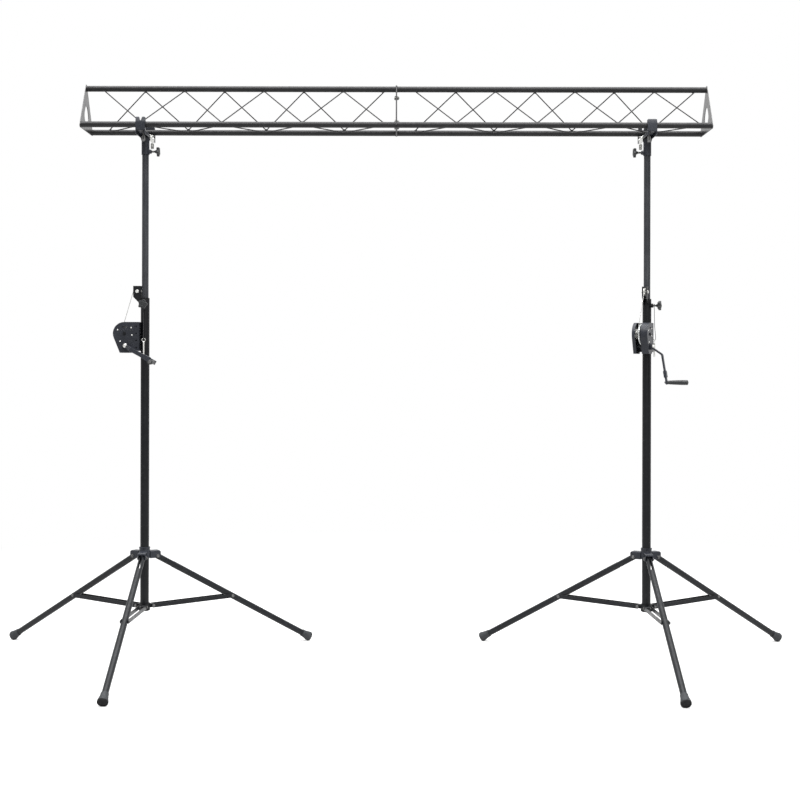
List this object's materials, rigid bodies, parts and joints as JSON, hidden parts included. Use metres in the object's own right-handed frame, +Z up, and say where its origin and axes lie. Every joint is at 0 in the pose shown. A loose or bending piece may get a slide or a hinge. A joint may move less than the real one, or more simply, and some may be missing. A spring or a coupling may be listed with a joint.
{
  "type": "crank lighting stand",
  "caption": "Crank-up lighting stand set: tripod winch stands carrying a triangular truss between them.",
  "frame": {"origin": "on the floor, under the middle of the whole set's box", "axes": "+X along the truss towards the right stand, +Y away from the viewer, +Z up"},
  "size_m": [3.9888, 1.3617, 2.7753],
  "materials": {
    "black_paint": "satin black powder coat",
    "grey_paint": "satin dark grey powder coat",
    "truss_paint": "satin black powder coat",
    "zinc": "bright zinc plate",
    "rubber": "matt rubber",
    "black_plastic": "moulded, fine grain",
    "steel_cable": "bare wire rope",
    "black_cord": "dark braided cord"
  },
  "bodies": {
    "left_mast": {"outer_mast_left": "black_paint", "winch_frame_left": "black_paint", "cable_left": "steel_cable", "lanyard_left": "black_cord", "safety_pin_left": "zinc"},
    "truss": {"truss_section_left": "truss_paint", "truss_section_right": "truss_paint", "web_front_left": "truss_paint", "web_rear_left": "truss_paint", "web_bottom_left": "truss_paint", "web_front_right": "truss_paint", "web_rear_right": "truss_paint", "web_bottom_right": "truss_paint", "inner_mast_left": "grey_paint", "inner_mast_right": "grey_paint", "head_left": "black_paint", "head_right": "black_paint"},
    "right_mast": {"outer_mast_right": "black_paint", "winch_frame_right": "black_paint", "cable_right": "steel_cable", "lanyard_right": "black_cord", "safety_pin_right": "zinc"},
    "drum_left": {"winch_drum_left": "zinc"},
    "crank_left": {"crank_left": "black_paint"},
    "pulley_left": {"pulley_left": "zinc"},
    "grip_left": {"crank_grip_left": "black_plastic"},
    "mast_knob_left": {"mast_knob_left": "black_plastic"},
    "head_knob_left": {"head_knob_left": "black_plastic"},
    "clamp_screw_left_a": {"clamp_screw_left_a": "zinc"},
    "clamp_screw_left_b": {"clamp_screw_left_b": "zinc"},
    "hub_left": {"leg_hub_left": "grey_paint"},
    "hub_knob_left": {"hub_knob_left": "black_plastic"},
    "leg_left_1": {"leg_left_1": "grey_paint", "foot_left_1": "rubber"},
    "brace_left_1": {"brace_left_1": "grey_paint"},
    "leg_left_2": {"leg_left_2": "grey_paint", "foot_left_2": "rubber"},
    "brace_left_2": {"brace_left_2": "grey_paint"},
    "leg_left_3": {"leg_left_3": "grey_paint", "foot_left_3": "rubber"},
    "brace_left_3": {"brace_left_3": "grey_paint"},
    "drum_right": {"winch_drum_right": "zinc"},
    "crank_right": {"crank_right": "black_paint"},
    "pulley_right": {"pulley_right": "zinc"},
    "grip_right": {"crank_grip_right": "black_plastic"},
    "mast_knob_right": {"mast_knob_right": "black_plastic"},
    "head_knob_right": {"head_knob_right": "black_plastic"},
    "clamp_screw_right_a": {"clamp_screw_right_a": "zinc"},
    "clamp_screw_right_b": {"clamp_screw_right_b": "zinc"},
    "hub_right": {"leg_hub_right": "grey_paint"},
    "hub_knob_right": {"hub_knob_right": "black_plastic"},
    "leg_right_1": {"leg_right_1": "grey_paint", "foot_right_1": "rubber"},
    "brace_right_1": {"brace_right_1": "grey_paint"},
    "leg_right_2": {"leg_right_2": "grey_paint", "foot_right_2": "rubber"},
    "brace_right_2": {"brace_right_2": "grey_paint"},
    "leg_right_3": {"leg_right_3": "grey_paint", "foot_right_3": "rubber"},
    "brace_right_3": {"brace_right_3": "grey_paint"}
  },
  "joints": [
    {"name": "mast_lift", "type": "slide", "parent": "left_mast", "child": "truss", "axis": [0, 0, 1], "range_m": [-0.6, 0.4]},
    {"name": "right_mast_lift", "type": "slide", "parent": "truss", "child": "right_mast", "axis": [0, 0, -1], "range_m": [-0.6, 0.4]},
    {"name": "drum_spin_left", "type": "hinge", "parent": "left_mast", "child": "drum_left", "pos_m": [-1.305, 0.2166, 1.573], "axis": [0, -1, 0], "range_deg": [-1333.5, 889.3]},
    {"name": "crank_turn_left", "type": "hinge", "parent": "left_mast", "child": "crank_left", "pos_m": [-1.29863, 0.2166, 1.51435], "axis": [0, -1, 0], "range_deg": [-3554.2, 5330.8]},
    {"name": "pulley_spin_left", "type": "hinge", "parent": "left_mast", "child": "pulley_left", "pos_m": [-1.2491, 0.2166, 1.777], "axis": [0, -1, 0], "range_deg": [-1763.9, 1176.3]},
    {"name": "grip_spin_left", "type": "hinge", "parent": "crank_left", "child": "grip_left", "pos_m": [-1.14825, 0.0486, 1.43506], "axis": [0, -1, 0], "continuous": true},
    {"name": "mast_knob_turn_left", "type": "hinge", "parent": "left_mast", "child": "mast_knob_left", "pos_m": [-1.212, 0.1566, 1.713], "axis": [0, -1, 0], "range_deg": [0, 360]},
    {"name": "head_knob_turn_left", "type": "hinge", "parent": "truss", "child": "head_knob_left", "pos_m": [-1.152, 0.2166, 2.452], "axis": [1, 0, 0], "range_deg": [0, 360]},
    {"name": "clamp_screw_left_a_release", "type": "slide", "parent": "truss", "child": "clamp_screw_left_a", "axis": [0, 0, -1], "range_m": [0, 0.008]},
    {"name": "clamp_screw_left_b_release", "type": "slide", "parent": "truss", "child": "clamp_screw_left_b", "axis": [0, 0, -1], "range_m": [0, 0.008]},
    {"name": "hub_slide_left", "type": "slide", "parent": "left_mast", "child": "hub_left", "axis": [0, 0, 1], "range_m": [0, 0.6238]},
    {"name": "hub_knob_turn_left", "type": "hinge", "parent": "hub_left", "child": "hub_knob_left", "pos_m": [-1.212, 0.2666, 0.5165], "axis": [0, 1, 0], "range_deg": [0, 360]},
    {"name": "leg_fold_left_1", "type": "hinge", "parent": "hub_left", "child": "leg_left_1", "pos_m": [-1.212, 0.1566, 0.4975], "axis": [1, 0, 0], "range_deg": [0, 57.95]},
    {"name": "brace_fold_left_1", "type": "hinge", "parent": "left_mast", "child": "brace_left_1", "pos_m": [-1.212, 0.1766, 0.258], "axis": [-1, 0, 0], "range_deg": [0, 83.35]},
    {"name": "leg_fold_left_2", "type": "hinge", "parent": "hub_left", "child": "leg_left_2", "pos_m": [-1.16004, 0.2466, 0.4975], "axis": [-0.5, 0.866, 0], "range_deg": [0, 57.95]},
    {"name": "brace_fold_left_2", "type": "hinge", "parent": "left_mast", "child": "brace_left_2", "pos_m": [-1.17736, 0.2366, 0.258], "axis": [0.5, -0.866, 0], "range_deg": [0, 83.35]},
    {"name": "leg_fold_left_3", "type": "hinge", "parent": "hub_left", "child": "leg_left_3", "pos_m": [-1.26396, 0.2466, 0.4975], "axis": [-0.5, -0.866, 0], "range_deg": [0, 57.95]},
    {"name": "brace_fold_left_3", "type": "hinge", "parent": "left_mast", "child": "brace_left_3", "pos_m": [-1.24664, 0.2366, 0.258], "axis": [0.5, 0.866, 0], "range_deg": [0, 83.35]},
    {"name": "drum_spin_right", "type": "hinge", "parent": "right_mast", "child": "drum_right", "pos_m": [1.17417, 0.13164, 1.573], "axis": [0.9135, -0.4067, 0], "range_deg": [-1333.5, 889.3]},
    {"name": "crank_turn_right", "type": "hinge", "parent": "right_mast", "child": "crank_right", "pos_m": [1.17677, 0.13746, 1.51435], "axis": [0.9135, -0.4067, 0], "range_deg": [-3554.2, 5330.8]},
    {"name": "pulley_spin_right", "type": "hinge", "parent": "right_mast", "child": "pulley_right", "pos_m": [1.19691, 0.18271, 1.777], "axis": [0.9135, -0.4067, 0], "range_deg": [-1763.9, 1176.3]},
    {"name": "grip_spin_right", "type": "hinge", "parent": "crank_right", "child": "grip_right", "pos_m": [1.33024, 0.06913, 1.34434], "axis": [0.9135, -0.4067, 0], "continuous": true},
    {"name": "mast_knob_turn_right", "type": "hinge", "parent": "right_mast", "child": "mast_knob_right", "pos_m": [1.26681, 0.1922, 1.713], "axis": [0.9135, -0.4067, 0], "range_deg": [0, 360]},
    {"name": "head_knob_turn_right", "type": "hinge", "parent": "truss", "child": "head_knob_right", "pos_m": [1.152, 0.2166, 2.452], "axis": [-1, 0, 0], "range_deg": [0, 360]},
    {"name": "clamp_screw_right_a_release", "type": "slide", "parent": "truss", "child": "clamp_screw_right_a", "axis": [0, 0, -1], "range_m": [0, 0.008]},
    {"name": "clamp_screw_right_b_release", "type": "slide", "parent": "truss", "child": "clamp_screw_right_b", "axis": [0, 0, -1], "range_m": [0, 0.008]},
    {"name": "hub_slide_right", "type": "slide", "parent": "right_mast", "child": "hub_right", "axis": [0, 0, 1], "range_m": [0, 0.6238]},
    {"name": "hub_knob_turn_right", "type": "hinge", "parent": "hub_right", "child": "hub_knob_right", "pos_m": [1.212, 0.2666, 0.5165], "axis": [0, 1, 0], "range_deg": [0, 360]},
    {"name": "leg_fold_right_1", "type": "hinge", "parent": "hub_right", "child": "leg_right_1", "pos_m": [1.212, 0.1566, 0.4975], "axis": [1, 0, 0], "range_deg": [0, 57.95]},
    {"name": "brace_fold_right_1", "type": "hinge", "parent": "right_mast", "child": "brace_right_1", "pos_m": [1.212, 0.1766, 0.258], "axis": [-1, 0, 0], "range_deg": [0, 83.35]},
    {"name": "leg_fold_right_2", "type": "hinge", "parent": "hub_right", "child": "leg_right_2", "pos_m": [1.26396, 0.2466, 0.4975], "axis": [-0.5, 0.866, 0], "range_deg": [0, 57.95]},
    {"name": "brace_fold_right_2", "type": "hinge", "parent": "right_mast", "child": "brace_right_2", "pos_m": [1.24664, 0.2366, 0.258], "axis": [0.5, -0.866, 0], "range_deg": [0, 83.35]},
    {"name": "leg_fold_right_3", "type": "hinge", "parent": "hub_right", "child": "leg_right_3", "pos_m": [1.16004, 0.2466, 0.4975], "axis": [-0.5, -0.866, 0], "range_deg": [0, 57.95]},
    {"name": "brace_fold_right_3", "type": "hinge", "parent": "right_mast", "child": "brace_right_3", "pos_m": [1.17736, 0.2366, 0.258], "axis": [0.5, 0.866, 0], "range_deg": [0, 83.35]}
  ],
  "couplings": [
    {"joint": "right_mast_lift", "follows": "mast_lift", "ratio": 1},
    {"joint": "drum_spin_left", "follows": "mast_lift", "rad_per_m": 38.76},
    {"joint": "crank_turn_left", "follows": "mast_lift", "rad_per_m": -155.04},
    {"joint": "pulley_spin_left", "follows": "mast_lift", "rad_per_m": 51.282},
    {"joint": "leg_fold_left_1", "follows": "hub_slide_left", "rad_per_m": 1.62},
    {"joint": "brace_fold_left_1", "follows": "hub_slide_left", "rad_per_m": 2.3306},
    {"joint": "leg_fold_left_2", "follows": "hub_slide_left", "rad_per_m": 1.62},
    {"joint": "brace_fold_left_2", "follows": "hub_slide_left", "rad_per_m": 2.3306},
    {"joint": "leg_fold_left_3", "follows": "hub_slide_left", "rad_per_m": 1.62},
    {"joint": "brace_fold_left_3", "follows": "hub_slide_left", "rad_per_m": 2.3306},
    {"joint": "drum_spin_right", "follows": "mast_lift", "rad_per_m": 38.76},
    {"joint": "crank_turn_right", "follows": "mast_lift", "rad_per_m": -155.04},
    {"joint": "pulley_spin_right", "follows": "mast_lift", "rad_per_m": 51.282},
    {"joint": "leg_fold_right_1", "follows": "hub_slide_right", "rad_per_m": 1.62},
    {"joint": "brace_fold_right_1", "follows": "hub_slide_right", "rad_per_m": 2.3306},
    {"joint": "leg_fold_right_2", "follows": "hub_slide_right", "rad_per_m": 1.62},
    {"joint": "brace_fold_right_2", "follows": "hub_slide_right", "rad_per_m": 2.3306},
    {"joint": "leg_fold_right_3", "follows": "hub_slide_right", "rad_per_m": 1.62},
    {"joint": "brace_fold_right_3", "follows": "hub_slide_right", "rad_per_m": 2.3306}
  ]
}
